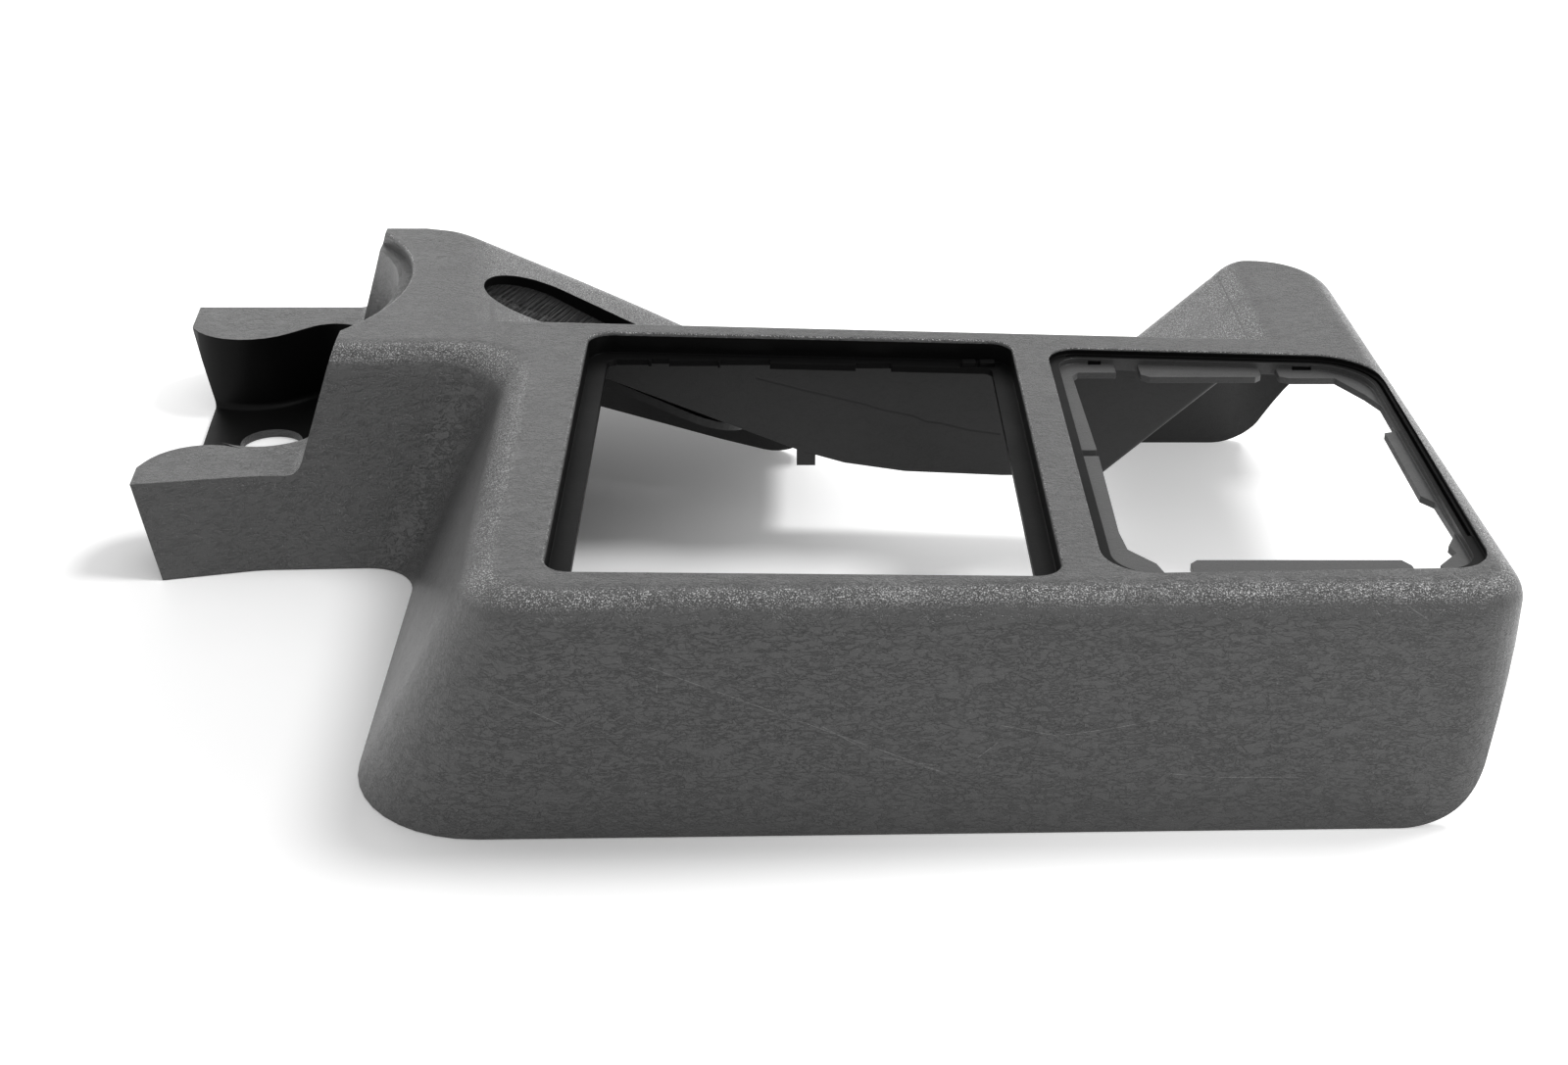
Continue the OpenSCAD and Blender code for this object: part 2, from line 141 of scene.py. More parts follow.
def rounded(pts, radii, marks=None):
    """The loop with each corner rounded by an arc; marks says which corners stay sharp."""
    out = []
    for i, p in enumerate(pts):
        if (marks or radii)[i] <= 1:
            out.append(p)
            continue
        a = sides_at(pts, i)[0]
        t = turn(pts, i)
        start = add(p, a, -radii[i] * math.tan(abs(t) / 2))
        centre = add(start, left_of(a), math.copysign(radii[i], t))
        v = add(start, centre, -1)
        for k in range(ARC_STEPS + 1):
            c, s = math.cos(t * k / ARC_STEPS), math.sin(t * k / ARC_STEPS)
            out.append(add(centre, (v[0] * c - v[1] * s, v[0] * s + v[1] * c)))
    return out


def solid(verts, faces, mat=OUTER):
    """A closed mesh object in drawing millimetres."""
    mesh = bpy.data.meshes.new("form")
    mesh.from_pydata(verts, [], faces)
    ob = bpy.data.objects.new("form", mesh)
    bpy.context.scene.collection.objects.link(ob)
    bm = bmesh.new()
    bm.from_mesh(mesh)
    bmesh.ops.recalc_face_normals(bm, faces=bm.faces)
    bmesh.ops.triangulate(bm, faces=[f for f in bm.faces if len(f.verts) > 4], ngon_method="EAR_CLIP")
    bm.to_mesh(mesh)
    bm.free()
    for m in SHELL_MATERIALS:
        mesh.materials.append(m)
    for f in mesh.polygons:
        f.material_index = mat
    return ob


def skin(rings, mat=OUTER):
    """A closed solid through rings of equal length."""
    n = len(rings[0])
    faces = [tuple(reversed(range(n))), tuple(range((len(rings) - 1) * n, len(rings) * n))]
    for i in range(len(rings) - 1):
        for j in range(n):
            k = (j + 1) % n
            faces.append((i * n + j, i * n + k, (i + 1) * n + k, (i + 1) * n + j))
    return solid([tuple(p) for r in rings for p in r], faces, mat)


def ring(loop, z):
    return [(p[0], p[1], z) for p in loop]


def prism(loop, z0, z1, mat=OUTER):
    return skin([ring(loop, z0), ring(loop, z1)], mat)


def along_y(side, y0, y1, mat=OUTER):
    """A prism whose side view is the loop of (x, z) points."""
    return skin([[(x, y1, z) for x, z in side], [(x, y0, z) for x, z in side]], mat)


def lipped(loop, radii, z0, top, lip, mat):
    """A cutter whose upper edge flares out, which leaves a rolled lip round the hole."""
    rings = [ring(rounded(loop, radii), z0)]
    for a in range(0, 91, 15):
        d = lip * (1 - math.cos(rad(a)))
        rings.append(ring(rounded(inset(loop, -d), [r + d for r in radii]), top - lip + lip * math.sin(rad(a))))
    rings.append(ring(rounded(inset(loop, -lip), [r + lip for r in radii]), top + 12))
    ob = skin(rings, mat)
    for f in ob.data.polygons:
        if f.center.z > top - lip:
            f.material_index = OUTER
    return ob


def combine(ob, tool, how="DIFFERENCE"):
    """Cuts, joins or meets two solids; the tool is used up."""
    m = ob.modifiers.new("combine", "BOOLEAN")
    m.operation = how
    m.solver = "MANIFOLD"
    m.object = tool
    made = bpy.data.meshes.new_from_object(ob.evaluated_get(bpy.context.evaluated_depsgraph_get()))
    ob.modifiers.clear()
    ob.data = made
    bpy.data.objects.remove(tool)
    return ob


def cut(ob, *tools):
    for t in tools:
        combine(ob, t)
    return ob


def join(ob, *tools):
    for t in tools:
        combine(ob, t, "UNION")
    return ob


RAMP_SLOPE, WING_SLOPE = math.tan(rad(RAMP_ANGLE)), math.tan(rad(WING_ANGLE))
RAMP_TURN = RAMP_START - RAMP_BEND - 4
WING_TIP = WING_START - (DECK - FAR_EDGE_Z) / WING_SLOPE


def bend(x, b, slope):
    return 0.0 if x < -b else slope * x if x > b else slope * (x + b) ** 2 / (4 * b)


def unbend(drop, b, slope):
    if drop <= 0:
        return -b
    return 2 * math.sqrt(b * drop / slope) - b if drop < slope * b else drop / slope


def tilt_gain(slope, t):
    return t * math.sqrt(1 + slope * slope)


def ramp_x(z, t):
    return min(RAMP_END + (PAST if t else 0), RAMP_START + unbend(DECK - z - tilt_gain(RAMP_SLOPE, t), RAMP_BEND, RAMP_SLOPE))


def ramp_out_x(z, t):
    slope = (DECK - ramp_z(RAMP_END)) / (RAMP_END - OUT_START)
    return min(RAMP_END + (PAST if t else 0), OUT_START + unbend(DECK - z - tilt_gain(slope, t), OUT_BEND, slope))


def wing_x(z, t):
    return max(WING_TIP - (PAST if t else 0), WING_START - unbend(DECK - z - tilt_gain(WING_SLOPE, t), WING_BEND, WING_SLOPE))


def ramp_z(x, t=0.0):
    return DECK - tilt_gain(RAMP_SLOPE, t) - bend(x - RAMP_START, RAMP_BEND, RAMP_SLOPE)


def wing_z(x, t=0.0):
    return DECK - tilt_gain(WING_SLOPE, t) - bend(WING_START - x, WING_BEND, WING_SLOPE)


def ramp_edge(x):
    return NECK_FAR + (far_y(RAMP_END) + RAMP_TIP_W - NECK_FAR) * (x - RAMP_TURN) / (RAMP_END - RAMP_TURN)


def skirt_out(x):
    return RAMP_TIP_FLARE + (SKIRT_FLARE - RAMP_TIP_FLARE) * (RAMP_END - x) / (RAMP_END - RAMP_TURN)


def slope_round(z, foot, most):
    return max(0.6, min(most, 0.5 + 5 * math.sqrt(max(0.0, DECK - z)), 1 + z - foot))


def outline(z, t, d):
    """Corners and radii of the moulding's outline in a level slice."""
    k = (DECK - z) / DECK
    rx, out_x, wx = ramp_x(z, t) + d, ramp_out_x(z, t) + d, wing_x(z, t) - d
    return [
        ((BOX_LEFT - LEFT_FLARE * k, near_y(BOX_LEFT) - NEAR_FLARE * k), CORNER_LEFT_R + CORNER_GAIN * k),
        ((BOX_RIGHT, near_y(BOX_RIGHT) - NEAR_FLARE / 3 * k), CORNER_RIGHT_R),
        ((BOX_RIGHT - 6, WING_FAR + WING_FLARE * k), WING_CORNER_R),
        ((wx, WING_FAR + WING_FLARE * k), d + slope_round(z, wing_z(WING_TIP), 12)),
        ((wx, far_y(wx)), 0),
        ((rx, far_y(rx)), 0),
        ((out_x, ramp_edge(out_x) + skirt_out(out_x) * k), d + slope_round(z, ramp_z(RAMP_END), 16)),
        ((RAMP_TURN - 3, NECK_FAR + SKIRT_FLARE * k), 0),
        ((BLOCK_LEFT - 30, NECK_FAR + SKIRT_FLARE * k), 0),
        ((BLOCK_LEFT - 30, NECK_NEAR - 4 - 2 * NECK_FLARE * k), 0),
        ((BLOCK_LEFT + 40, NECK_NEAR - (NECK_FLARE + 1) * k), 50),
        ((BOX_LEFT - 4 - (LEFT_FLARE - 4) * k, NECK_NEAR - (NECK_FLARE - 1) * k), 20 - 4 * k)]


def crisp_edge(z, d, r):
    """How much less than d a far edge is moved in, because its rounding is only r."""
    up = max(0.0, z - (DECK - r))
    return d - (r - math.sqrt(max(0.0, r ** 2 - up ** 2)))


def outline_ring(z, t, d):
    corners = outline(z, t, d)
    loop, radii = [c[0] for c in corners], [c[1] for c in corners]
    for i in PLATE_CORNERS:
        radii[i] = INNER_CREASE_R - 0.6 * d
    if t == 0:
        for i in FAR_CORNERS:
            loop[i] = add(loop[i], (0, 1), crisp_edge(z, d, DECK_EDGE_R if i in PLATE_CORNERS else FAR_EDGE_R))
    marks = [9 if i in PLATE_CORNERS else c[1] for i, c in enumerate(outline(DECK / 2, 0, 0))]
    return ring(rounded(inset(loop, d), inset_radii(loop, radii, d), marks), z)


def moulding(t, mat=OUTER):
    """The outer form, solid, with rounded top edges; t is how far it lies inside."""
    r = EDGE_R - t
    tip = PAST if t else 0
    low, mid = wing_z(WING_TIP - tip, t), ramp_z(RAMP_END + tip, t)
    top = DECK - t - r
    levels = [-5.0 if t else 0.0, low, mid, ramp_z(RAMP_END) + 15]
    levels += [levels[-1] + (top - levels[-1]) * k / 5 for k in range(1, 5)]
    rings = [outline_ring(z, t, t) for z in levels]
    for k in range(int(90 / TURN_STEP) + 1):
        a = rad(k * TURN_STEP)
        rings.append(outline_ring(top + r * math.sin(a), t, t + r * (1 - math.cos(a))))
    return skin(rings, mat)


def over_blocks(t, mat=OUTER):
    """All above the trough's blocks and left of the neck's leaning end wall."""
    lean = math.tan(rad(NECK_LEAN))
    foot_x = NECK_LEFT - lean * (DECK - BLOCK_H) + t
    side = rounded([(-FAR_OUT, BLOCK_H - t), (foot_x, BLOCK_H - t),
                    (foot_x + lean * (DECK - BLOCK_H + 20), DECK + 20), (-FAR_OUT, DECK + 20)],
                   [0, BLOCK_FILLET + t, 0, 0])
    y1 = NECK_FAR + SKIRT_FLARE + 30
    return along_y(side, y1 - NECK_FAR, y1, mat)


SCALLOP_X = NECK_LEFT + SCALLOP_BITE - SCALLOP_R
THROAT_X, THROAT_Y = BLOCK_LEFT + 10, SCALLOP_Y - 4
POCKET_LOOP = [(-FAR_OUT, THROAT_Y - THROAT_W / 2 - 110), (THROAT_X, THROAT_Y - THROAT_W / 2 + 4.5),
               (THROAT_X + 26, THROAT_Y - THROAT_W / 2 - 12.5), (THROAT_X + 96, SCALLOP_Y),
               (THROAT_X + 34, SCALLOP_Y + 66), (THROAT_X - 9, THROAT_Y + THROAT_W / 2 - 5),
               (-FAR_OUT, THROAT_Y + THROAT_W / 2 + 78)]
POCKET_RADII = [0, 20, 22, 56, 14, 24, 0]


def circle(x, y, r, z, step=3):
    return [(x + r * math.cos(rad(a)), y + r * math.sin(rad(a)), z) for a in range(0, 360, step)]


def pocket(t, mat=OUTER):
    """Cutters of the cup pocket: its floor loop with a rounded foot, the scallop's cone and its ledge."""
    foot = 2.5
    rings = []
    for a in range(0, 91, 15):
        d = foot * (1 - math.sin(rad(a))) if t == 0 else 0.0
        z = WALL - t + (foot * (1 - math.cos(rad(a))) if t == 0 else foot * a / 90)
        rings.append(ring(rounded(inset(POCKET_LOOP, d - t), inset_radii(POCKET_LOOP, POCKET_RADII, d - t),
                                  POCKET_RADII), z))
    rings.append(ring(rounded(inset(POCKET_LOOP, -t), inset_radii(POCKET_LOOP, POCKET_RADII, -t), POCKET_RADII),
                      BLOCK_H + 2 + WALL - t))
    low = skin(rings, mat if t else SMOOTH_SHADED)
    r = SCALLOP_R + t
    cone = skin([circle(SCALLOP_X - 8, SCALLOP_Y, r, BLOCK_H + 0.4 - t),
                 circle(SCALLOP_X - LEDGE_W, SCALLOP_Y, r, DECK if t else DECK - LEDGE_DROP)], mat)
    rings = [circle(SCALLOP_X, SCALLOP_Y, r, DECK - LEDGE_DROP - 0.5 - t)]
    if t == 0:
        for a in range(0, 91, 15):
            rings.append(circle(SCALLOP_X, SCALLOP_Y, r + LIP_SCALLOP * (1 - math.cos(rad(a))),
                                DECK - LIP_SCALLOP + LIP_SCALLOP * math.sin(rad(a))))
    rings.append(circle(SCALLOP_X, SCALLOP_Y, r + (LIP_SCALLOP if t == 0 else 0), DECK + 16))
    return low, cone, skin(rings, mat)


def end_cut():
    """Everything left of the leaning end of the blocks."""
    s = FAR_OUT
    ob = skin([[(-s, -s, -s), (0, -s, -s), (0, s, -s), (-s, s, -s)], [(-s, -s, s), (0, -s, s), (0, s, s), (-s, s, s)]])
    ob.data.transform(Matrix.Translation((BLOCK_LEFT, NECK_NEAR, BLOCK_H)) @ Matrix.Rotation(rad(4.7), 4, "Z")
                      @ Matrix.Rotation(rad(-BLOCK_LEAN), 4, "Y"))
    return ob


def free_end(x_top, z_top, x_foot, r, y0, y1):
    """A cutter to the right of a wall's free end, with its lower corner rounded."""
    lean = math.degrees(math.atan2(x_top - x_foot, z_top - r))
    arc = [(x_foot - r + r * math.cos(rad(-a)), r + r * math.sin(rad(-a))) for a in range(int(lean), 91, 4)]
    return along_y([(x_top + 30, z_top), (x_top, z_top)] + arc + [(x_foot - r, -1), (x_top + 30, -1)], y0, y1)


LIP_H, NEAR_END, SIDE_IN, FOOT_R = 11.0, 6.0, 22.0, 22.0


def open_end():
    x, y = BOX_RIGHT, WING_FAR - WING_CORNER_R
    loop = [(x + 30, NEAR_END), (x + 30, y), (x - SIDE_IN, y), (x - SIDE_IN, NEAR_END + 10), (x - 4, NEAR_END)]
    return (prism(loop, -1, DECK - LIP_H), free_end(x - 0.5, DECK - LIP_H, x - 6.5, FOOT_R, -40, 60),
            free_end(x, DECK - LIP_H - 3, x - 20, FOOT_R - 4, y - 2, WING_FAR + 30))


def lever_pit():
    x0, x1, z, y = RAMP_END, WING_TIP, FAR_EDGE_Z, far_y(0)
    side = [(x0, -1), (x1 + 2, -1), (x1 + 2, z + 3), (x1 - 12, z + 0.5), (x0 + 60, z), (x0 + 28, z + 0.5),
            (x0 + 8, z + 3), (x0 - 3, z + 6)]
    return along_y(side, y - 24, y + 8), free_end(RAMP_END + 0.5, 26, RAMP_END, FOOT_R - 2, y + 8.5, WING_FAR)


# Openings
def left_loop():
    x0, x1 = LEFT_OPEN_X, LEFT_OPEN_X + LEFT_OPEN_W
    return [(x0, 1), (x1, -1.5), (x1, LEFT_OPEN_L - 5), (x0, LEFT_OPEN_L + 3)]


LEFT_RADII = [LEFT_OPEN_R] * 4
RIGHT_RADII = [13, 11, RIGHT_OPEN_R, 9]


def right_loop():
    x0, x1 = RIGHT_OPEN_X, RIGHT_OPEN_X + RIGHT_OPEN_W
    return [(x0, -0.5), (x1, 3), (x1, RIGHT_OPEN_L - 7), (x0, RIGHT_OPEN_L)]


def box(x0, x1, y0, y1, z0, z1, mat=OUTER):
    return prism([(x0, y0), (x1, y0), (x1, y1), (x0, y1)], z0, z1, mat)


def surround(loop, radii, z0, mat):
    """Block of wall round an opening, from which its ledge and flange are cut."""
    return prism(rounded(inset(loop, -WALL + 0.5), [r + WALL - 0.5 for r in radii]), z0, DECK - WALL + 0.5, mat)


# Clip notches of the far flange: start and length in thirds of a millimetre, depth in millimetres
NOTCHES = [(8, 31, 3.0), (42, 17, 4.5), (60, 46, 3.0), (108, 48, 4.5), (238, 34, 4.0)]


def left_cutters():
    tools = [lipped(left_loop(), LEFT_RADII, DECK - LEFT_DEEP, DECK, LIP_LEFT, SMOOTH_SHADED),
             prism(rounded(inset(left_loop(), LEFT_FLANGE), [3] * 4), -1, DECK - LEFT_DEEP + 1, SMOOTH_SHADED)]
    y = LEFT_OPEN_L - LEFT_FLANGE - 12
    z = DECK - LEFT_DEEP - PLATE - 1
    for start, length, deep in NOTCHES:
        x = LEFT_OPEN_X + LEFT_FLANGE + start / 3
        tools.append(box(x, x + length / 3, y, y + 12 + deep - start / 60, z, z + PLATE + 2, SMOOTH_SHADED))
    return tools


def right_tabs():
    w, l, f = RIGHT_OPEN_W, RIGHT_OPEN_L, RIGHT_FLANGE
    tabs = [
        [(-1, -1), (f + 10, -1), (f + 11, 5), (f + 9, 12), (f + 2.5, 20), (f + 1.5, 30), (f + 2, 78), (-1, 78)],
        [(-1, 82), (f + 2, 82), (f + 1, l - 14), (f + 3, l - 11), (21, l - 11), (21, l), (-1, l)],
        [(28.5, l - 12.5), (31, l - 14.5), (64, l - 14.5), (66, l - 12.5), (66, l), (28.5, l)],
        [(w - 30, l), (w - 30, l - 14), (w - 27, l - 15.5), (w - 13, l - 15.5), (w - 6.5, l - 28), (w - 3.5, l - 36),
         (w - 3.5, 95), (w - 7, 94), (w - 7, 52), (w - 4, 48), (w - 3.5, 29), (w - 7, 22), (w - 6, 18), (w - 12, 11),
         (w - 11, 7), (w + 1, 7), (w + 1, l)],
        [(24, -1), (83, -1), (82, 11), (80, 14), (26, 14), (24, 12)]]
    z = DECK - RIGHT_DEEP - 2 * PLATE
    return [prism([(RIGHT_OPEN_X + x, y) for x, y in k], z, z + PLATE, FLANGE) for k in tabs]


def right_inner():
    inner = prism(rounded(inset(right_loop(), RIGHT_FLANGE / 2), [r - 2 for r in RIGHT_RADII]), -1, DECK, FLANGE)
    return cut(inner, *right_tabs())


def right_groove():
    """Narrow gutter in the shallow ledge, whose faces take the painted shade of the recesses, so that it shows as a
    black line on the far and right sides.
    """
    z = DECK - RIGHT_DEEP
    outer = prism(rounded(inset(right_loop(), 0.5), [r - 0.5 for r in RIGHT_RADII]), z - 1.6, z + 0.4, SMOOTH_SHADED)
    inner = prism(rounded(inset(right_loop(), 1.7), [r - 1.7 for r in RIGHT_RADII]), z - 3, z + 1, SMOOTH_SHADED)
    cut(outer, inner)
    keep = box(RIGHT_OPEN_X + 6, RIGHT_OPEN_X + RIGHT_OPEN_W + 4, 24, RIGHT_OPEN_L + 4, z - 4, z + 4, SMOOTH_SHADED)
    return combine(outer, keep, "INTERSECT")


def flange_slots():
    z = DECK - RIGHT_DEEP - 2 * PLATE
    return [box(x0, x1, y, y + 1.9, z - 1, z + 3, SMOOTH_SHADED) for x0, x1, y in FLANGE_SLOTS]


# Slot of the lever panel, in the panel's own plane
SLOT_A = (RAMP_START + SLOT_IN, (far_y(RAMP_START) + NECK_FAR) / 2 - 6)
SLOT_B = (SLOT_A[0] + SLOT_LEN, SLOT_A[1] - 0.26 * SLOT_LEN)
ON_PANEL = (Matrix.Translation((RAMP_START, 0, DECK)) @ Matrix.Rotation(rad(RAMP_ANGLE), 4, "Y")
            @ Matrix.Translation((-RAMP_START, 0, 0)))
SLOT_AXIS = unit(add(SLOT_B, SLOT_A, -1))


def slot_loop(g):
    """Two circles joined by their outer tangents, grown by g."""
    d = add(SLOT_B, SLOT_A, -1)
    h = math.degrees(math.atan2(d[1], d[0]))
    w = math.degrees(math.acos((SLOT_R1 - SLOT_R2) / math.hypot(*d)))
    n = 40
    big = [h + w + (360 - 2 * w) * k / n for k in range(n + 1)]
    small = [h - w + 2 * w * k / n for k in range(n + 1)]
    return ([add(SLOT_A, (math.cos(rad(a)), math.sin(rad(a))), SLOT_R1 + g) for a in big]
            + [add(SLOT_B, (math.cos(rad(a)), math.sin(rad(a))), SLOT_R2 + g) for a in small])


def slot_cutter():
    rings = [ring(slot_loop(0), -COLLAR_H - WALL - 1), ring(slot_loop(0), -LIP_SLOT)]
    for a in range(15, 91, 15):
        rings.append(ring(slot_loop(LIP_SLOT * (1 - math.cos(rad(a)))), LIP_SLOT * (math.sin(rad(a)) - 1)))
    rings.append(ring(slot_loop(LIP_SLOT), 12))
    ob = skin(rings)
    for f in ob.data.polygons:
        if f.center.z < -LIP_SLOT:
            f.material_index = SMOOTH_SHADED
    ob.data.transform(ON_PANEL)
    return ob


SCREW_R, SCREW_REACH = 1.1, 4.0
SCREW_PLACES = [add(SLOT_A, (-SLOT_R1 - SCREW_REACH, 0)), add(SLOT_B, (SLOT_R2 + SCREW_REACH, 0))]


def slot_collar():
    """Collar that hangs round the slot, with a boss for each screw, kept inside the panel."""
    z0, z1 = -WALL - COLLAR_H, -WALL / 2
    ob = prism(slot_loop(WALL / 1.5), z0, z1, INNER)
    for p in SCREW_PLACES:
        join(ob, skin([circle(*p, SCREW_R + 2, z0 + 0.01, 15), circle(*p, SCREW_R + 2, z1 - 0.01, 15)], INNER))
    for p in SCREW_PLACES:
        cut(ob, skin([circle(*p, SCREW_R, z0 - 1, 15), circle(*p, SCREW_R, z0 + COLLAR_H - 1, 15)], INNER))
    ob.data.transform(ON_PANEL)
    return combine(ob, moulding(1), "INTERSECT")


# Small forms that only the looks have
FLANGE_SLOTS = [(96.0, 100.0, 145.4), (159.6, 165.5, 141.0)]
FLANGE_NUBS = [(56.8, 61.0), (62.4, 67.0)]
FAR_WALL_TAB = (4.2, 10.4, 23.5)


def small_forms():
    """Nubs on the left opening's far flange, and the tab under the far wall's edge."""
    y = LEFT_OPEN_L - LEFT_FLANGE - 5
    z = DECK - LEFT_DEEP
    made = [box(a, b, y + 1.2, y + 4.2, z - 1, z + 1.6, SMOOTH_SHADED) for a, b in FLANGE_NUBS]
    x0, x1, low = FAR_WALL_TAB
    made.append(box(x0, x1, far_y(x0) - WALL + 0.1, far_y(x0) - 0.6, low, FAR_EDGE_Z + 8, INNER))
    return made


def shell_form():
    hollow = cut(moulding(WALL, INNER), over_blocks(WALL, INNER), *pocket(WALL, INNER))
    ob = cut(moulding(0), hollow, over_blocks(0), *pocket(0), end_cut(), *open_end(), *lever_pit())
    join(ob, surround(left_loop(), LEFT_RADII, DECK - LEFT_DEEP - PLATE, SMOOTH_SHADED),
         surround(right_loop(), RIGHT_RADII, DECK - RIGHT_DEEP - 2 * PLATE, FLANGE), slot_collar())
    cut(ob, *left_cutters(), lipped(right_loop(), RIGHT_RADII, DECK - RIGHT_DEEP, DECK, LIP_RIGHT, SMOOTH_SHADED),
        right_inner(), right_groove(), *flange_slots(), slot_cutter(),
        skin([circle(FIX_X, FIX_Y, FIX_HOLE_R, -1), circle(FIX_X, FIX_Y, FIX_HOLE_R, WALL + 1)]))
    return join(ob, *small_forms())


TO_ROW = Matrix.Scale(0.001, 4) @ Matrix.Translation((-FIX_X, -FIX_Y, 0))


def into_row(ob, name, slot, *nodes):
    """Puts a form into the row's frame, names it and hides the CAD nodes that it stands for."""
    ob.data.transform(TO_ROW)
    ob.name = name
    ob.data.name = name
    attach(ob, "root")
    if nodes:
        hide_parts(*nodes)
    return ob


def smooth_edges(ob, angle=32.0):
    mesh = ob.data
    mesh.shade_smooth()
    mesh.set_sharp_from_angle(angle=rad(angle))
    m = ob.modifiers.new("weights", "WEIGHTED_NORMAL")
    m.keep_sharp = True


# Materials
def new_material(name):
    m = bpy.data.materials.new(name)
    m.use_nodes = True
    return m, m.node_tree, m.node_tree.nodes["Principled BSDF"]


def node(tree, kind, inputs=None, **props):
    n = tree.nodes.new("ShaderNode" + kind)
    for k, v in props.items():
        setattr(n, k, v)
    for k, v in (inputs or {}).items():
        if isinstance(v, bpy.types.NodeSocket):
            tree.links.new(v, n.inputs[k])
        else:
            n.inputs[k].default_value = v
    return n


def maths(tree, op, a, b=None, c=None):
    """One math node; returns its output."""
    values = {i: v for i, v in enumerate((a, b, c)) if v is not None}
    return node(tree, "Math", values, operation=op).outputs[0]


def ramp(tree, value, low, high, out_low=0.0, out_high=1.0):
    """Value between low and high, mapped smoothly."""
    return node(tree, "MapRange", {0: value, 1: low, 2: high, 3: out_low, 4: out_high},
                interpolation_type="SMOOTHSTEP").outputs[0]


def noise(tree, where, scale, detail=3.0, rough=0.5):
    return node(tree, "TexNoise", {"Vector": where, "Scale": scale, "Detail": detail, "Roughness": rough}).outputs["Fac"]


def grey(v, warm=0.0):
    return (v * (1 + warm), v, v * (1 - warm), 1.0)


def mix_colour(tree, fac, a, b):
    n = node(tree, "Mix", {0: fac, 6: a, 7: b}, data_type="RGBA")
    return n.outputs[2]


def pixel_ray(px, py):
    """Direction of a pixel of the photograph, in the drawing's frame."""
    c, s = math.cos(rad(PITCH)), math.sin(rad(PITCH))
    u, v = (px - PHOTO_W / 2) / FOCAL_PX, (PHOTO_H / 2 - py) / FOCAL_PX
    return Vector((u, c + s * v, -s + c * v))


def on_wall(px, py, y_of_x):
    """Where a pixel's ray meets an upright wall, in the row's frame."""
    ray = pixel_ray(px, py)
    y = y_of_x(0.0)
    for _ in range(3):
        p = EYE + ray * ((y - EYE.y) / ray.y)
        y = y_of_x(p.x)
    return TO_ROW @ p


def line_mask(tree, where, lines, width):
    """1 along the given lines on an upright wall, 0 away from them. Depth into the wall counts little."""
    flat = Vector((1.0, 0.1, 1.0))
    where = node(tree, "VectorMath", {0: where, 1: tuple(flat)}, operation="MULTIPLY").outputs[0]
    lines = [[p * flat for p in line] for line in lines]
    total = None
    for line in lines:
        for a, b in zip(line, line[1:]):
            d = b - a
            rel = node(tree, "VectorMath", {0: where, 1: tuple(a)}, operation="SUBTRACT").outputs[0]
            t = node(tree, "VectorMath", {0: rel, 1: tuple(d / d.length_squared)}, operation="DOT_PRODUCT").outputs["Value"]
            t = node(tree, "Clamp", {0: t}).outputs[0]
            foot = node(tree, "VectorMath", {0: tuple(d), 3: t}, operation="SCALE").outputs[0]
            gap = node(tree, "VectorMath", {0: rel, 1: foot}, operation="DISTANCE").outputs["Value"]
            total = gap if total is None else maths(tree, "MINIMUM", total, gap)
    return ramp(tree, total, width, width * 0.3)


def near_wall(x):
    return near_y(x) - NEAR_FLARE / 2


# Fine scratches on the near wall, as pixels of the photograph
SCRATCH_PX = [[(661, 682), (960, 788)], [(840, 743), (899, 774), (957, 782)], [(494, 706), (574, 741)],
              [(1020, 741), (1079, 752), (1132, 745), (1181, 736)], [(909, 774), (967, 790)],
              [(998, 774), (1018, 759)], [(1190, 790), (1240, 794), (1324, 794)], [(1427, 614), (1458, 634)],
              [(670, 700), (670, 708)], [(534, 662), (539, 668)]]
CRACK_PX = [(772, 386), (800, 393), (820, 398), (850, 405), (880, 412), (900, 418), (930, 424), (945, 430),
            (960, 432), (990, 439), (1020, 443)]
SCUFF_PX = (905, 612)


def wrinkles(tree, where, scale, shift):
    """Thin broken creases of a leather grain, longer along the deck than across it."""
    drawn = node(tree, "VectorMath", {0: where, 1: (0.42, 0.9, 1.0)}, operation="MULTIPLY").outputs[0]
    moved = node(tree, "VectorMath", {0: drawn, 1: (shift, shift, shift)}, operation="ADD").outputs[0]
    field = node(tree, "TexNoise", {"Vector": moved, "Scale": scale, "Detail": 3.0, "Roughness": 0.6,
                                    "Distortion": 0.6}).outputs["Fac"]
    gap = maths(tree, "ABSOLUTE", maths(tree, "SUBTRACT", field, 0.5))
    broken = ramp(tree, noise(tree, moved, scale * 0.5, 2.0), 0.3, 0.52)
    return maths(tree, "MULTIPLY", ramp(tree, gap, 0.03, 0.0), broken)


